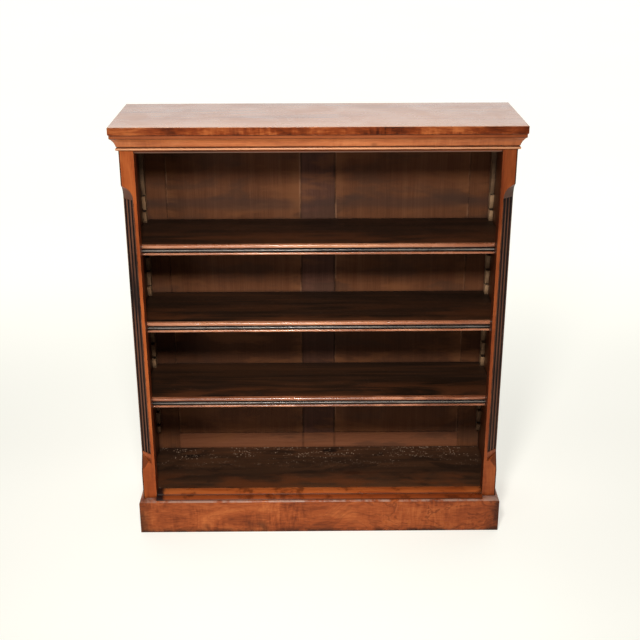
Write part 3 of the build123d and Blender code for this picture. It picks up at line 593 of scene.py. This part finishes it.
def dress_carcass():
    dress("top_board", top_walnut("top_board", 3), 0)
    dress("cornice_front", cornice_walnut("cornice_front", "X", 5), FINE_EDGE)
    dress("frieze_rail", frieze_walnut("frieze_rail", 6))
    dress("bottom_moulding", moulding_walnut("bottom_moulding", 7), FINE_EDGE)
    dress("plinth_front", plinth_walnut("plinth_front", "X", 9))
    dress("bottom_board", worn_floor("bottom_board", 11))
    # Painted shade: the right post takes the darker walnut, so it looks less lit than the left one.
    post_looks_lit_and_shaded = ((WALNUT, POST_INNER_RED), (DARK_WALNUT, POST_INNER_BROWN))
    for number, side in enumerate(SIDES):
        outward = 2 * number - 1
        cornice = "cornice_" + side
        post = "corner_post_" + side
        strip = "fluted_strip_" + side
        board = "side_board_" + side
        plinth = "plinth_" + side
        dress(cornice, cornice_walnut(cornice, "Y", 13 + number), FINE_EDGE)
        dress(post, post_walnut(post, outward, 17 + number, *post_looks_lit_and_shaded[number]))
        dress(strip, fluted_ebony(strip, outward, 19 + number), 0.0003)
        dress(board, side_walnut(board, outward, 21 + number))
        dress(plinth, plinth_walnut(plinth, "Y", 23 + number))


def dress_back():
    dress("back_head_rail", back_board("back_head_rail", "X", 31))
    dress("back_foot_rail", back_board("back_foot_rail", "X", 32, FOOT_RAIL_STAIN))
    dress("back_muntin", back_board("back_muntin", "Z", 33, MUNTIN_STAIN))
    for number, side in enumerate(SIDES):
        stile = "back_stile_" + side
        panel = "back_panel_" + side
        dress(stile, back_board(stile, "Z", 34 + number))
        dress(panel, back_board(panel, "Z", 36 + number, BACK_STAIN, PANEL_EDGES_X))


def dress_hidden_frame():
    for number, node in enumerate(("plinth_back", "bearer_front")):
        dress(node, old_board(node, "X", 41 + number, SOFTWOOD))
    for number, side in enumerate(SIDES):
        corner_block = "plinth_block_" + side
        bearer = "bearer_" + side
        dress(corner_block, old_board(corner_block, "Z", 43 + number, SOFTWOOD))
        dress(bearer, old_board(bearer, "Y", 45 + number, SOFTWOOD))


def dress_racks():
    for first, row in enumerate(ROWS):
        for second, side in enumerate(SIDES):
            node = "rack_" + row + "_" + side
            dress(node, rack_wood(node, 51 + 2 * first + second), FINE_EDGE)
    dress("rack_screws", darkened_steel("rack_screws"), 0)


def dress_shelves():
    for number, level in enumerate(LEVELS):
        board = "shelf_board_" + level
        edging = "shelf_edging_" + level
        bead = "shelf_bead_" + level
        dress(board, stained_shelf(board, 61 + number))
        dress(edging, reed_walnut(edging, "X", 65 + number), 0)
        dress(bead, bead_ebony(bead, 69 + number), 0)
        for second, side in enumerate(SIDES):
            cleat = "cleat_" + level + "_" + side
            dress(cleat, old_board(cleat, "Y", 73 + 2 * number + second, RACK_WOOD))


# ---- floor, light and camera --------------------------------------------
def make_floor():
    """Pale studio floor that glows with painted light: dim in the foreground, brighter round the case and
    behind it.
    """
    just_below = -0.0002
    bpy.ops.mesh.primitive_plane_add(size=30.0, location=(0.0, 4.0, just_below))
    floor = bpy.context.object
    floor.name = "floor"
    graph = Graph("floor")
    cloud = graph.noise(graph.place((0.8, 0.8, 0.8), (0.0, 0.0, 0.0)), 1.0, 2.0)
    paper = graph.ramp(cloud, [(0.3, (0.48, 0.475, 0.44)), (0.7, (0.52, 0.515, 0.48))])
    graph.put(graph.shader.inputs["Base Color"], paper)
    graph.shader.inputs["Roughness"].default_value = 0.9
    graph.shader.inputs["Specular IOR Level"].default_value = 0.1
    # Painted light: the floor glows, weaker in the foreground and stronger round the case and behind it.
    graph.shader.inputs["Emission Color"].default_value = (1.0, 0.99, 0.91, 1.0)
    place = graph.add("NewGeometry").outputs["Position"]
    world_y = graph.add("SeparateXYZ", {"Vector": place}).outputs["Y"]
    near = graph.fit(world_y, -1.9, -0.6, 0.18, 0.60)
    far = graph.fit(world_y, 0.2, 2.5, 0.0, 0.27)
    graph.put(graph.shader.inputs["Emission Strength"], graph.maths("ADD", near, far))
    floor.data.materials.append(graph.material)


def make_world():
    """Bright studio backdrop behind the case, dim room in front of it."""
    world = bpy.data.worlds.new("studio")
    bpy.context.scene.world = world
    world.use_nodes = True
    tree = world.node_tree
    tree.nodes.clear()
    output = tree.nodes.new("ShaderNodeOutputWorld")
    direction = tree.nodes.new("ShaderNodeTexCoord")
    parts = tree.nodes.new("ShaderNodeSeparateXYZ")
    tree.links.new(direction.outputs["Generated"], parts.inputs[0])
    ramp = tree.nodes.new("ShaderNodeMapRange")
    ramp.inputs["From Min"].default_value = -0.05
    ramp.inputs["From Max"].default_value = 0.45
    ramp.inputs["To Min"].default_value = 0.03
    ramp.inputs["To Max"].default_value = 1.0
    tree.links.new(parts.outputs["Y"], ramp.inputs["Value"])
    seen = tree.nodes.new("ShaderNodeLightPath")
    strength = tree.nodes.new("ShaderNodeMath")
    strength.operation = "MAXIMUM"
    tree.links.new(seen.outputs["Is Camera Ray"], strength.inputs[0])
    tree.links.new(ramp.outputs["Result"], strength.inputs[1])
    background = tree.nodes.new("ShaderNodeBackground")
    background.inputs["Color"].default_value = (1.0, 1.0, 0.98, 1.0)
    tree.links.new(strength.outputs[0], background.inputs["Strength"])
    tree.links.new(background.outputs[0], output.inputs["Surface"])


def area_light(name, location, target, size, power, spread, colour):
    """A round lamp aimed at a target; size in metres, power in watts, spread in degrees."""
    light = bpy.data.lights.new(name, "AREA")
    light.spread = math.radians(spread)
    light.shape = "DISK"
    light.size = size
    light.energy = power
    light.color = colour
    lamp = bpy.data.objects.new(name, light)
    bpy.context.scene.collection.objects.link(lamp)
    lamp.location = location
    lamp.rotation_mode = "QUATERNION"
    lamp.rotation_quaternion = (Vector(target) - Vector(location)).to_track_quat("-Z", "Y")


def make_lights():
    """A small warm key high in front, which throws the shelves' shadows, and a wide weak fill."""
    warm = (1.0, 0.985, 0.95)
    neutral = (1.0, 1.0, 1.0)
    area_light("key", (-0.18, -2.02, 2.10), (0.0, 0.0, 0.15), 0.36, 11.8, 75, warm)
    area_light("fill", (-1.5, -2.6, 1.3), (0.0, 0.0, 0.6), 1.2, 4.5, 120, neutral)


def make_camera():
    """A standing viewer's camera, close to the case's middle and tipped down."""
    yaw, pitch, roll = 0.0076, -0.3857, -0.0027
    data = bpy.data.cameras.new("camera")
    data.sensor_width = 36.0
    data.lens = 60.8
    camera = bpy.data.objects.new("camera", data)
    bpy.context.scene.collection.objects.link(camera)
    turn = Matrix.Rotation(-yaw, 4, "Z") @ Matrix.Rotation(math.pi / 2 + pitch, 4, "X")
    turn = turn @ Matrix.Rotation(roll, 4, "Z")
    eye = (-0.0182, -2.926, 1.806)
    camera.matrix_world = Matrix.Translation(eye) @ turn
    bpy.context.scene.camera = camera


dress_carcass()
dress_back()
dress_hidden_frame()
dress_racks()
dress_shelves()
make_floor()
make_world()
make_lights()
make_camera()

bpy.context.scene.view_settings.view_transform = "Standard"
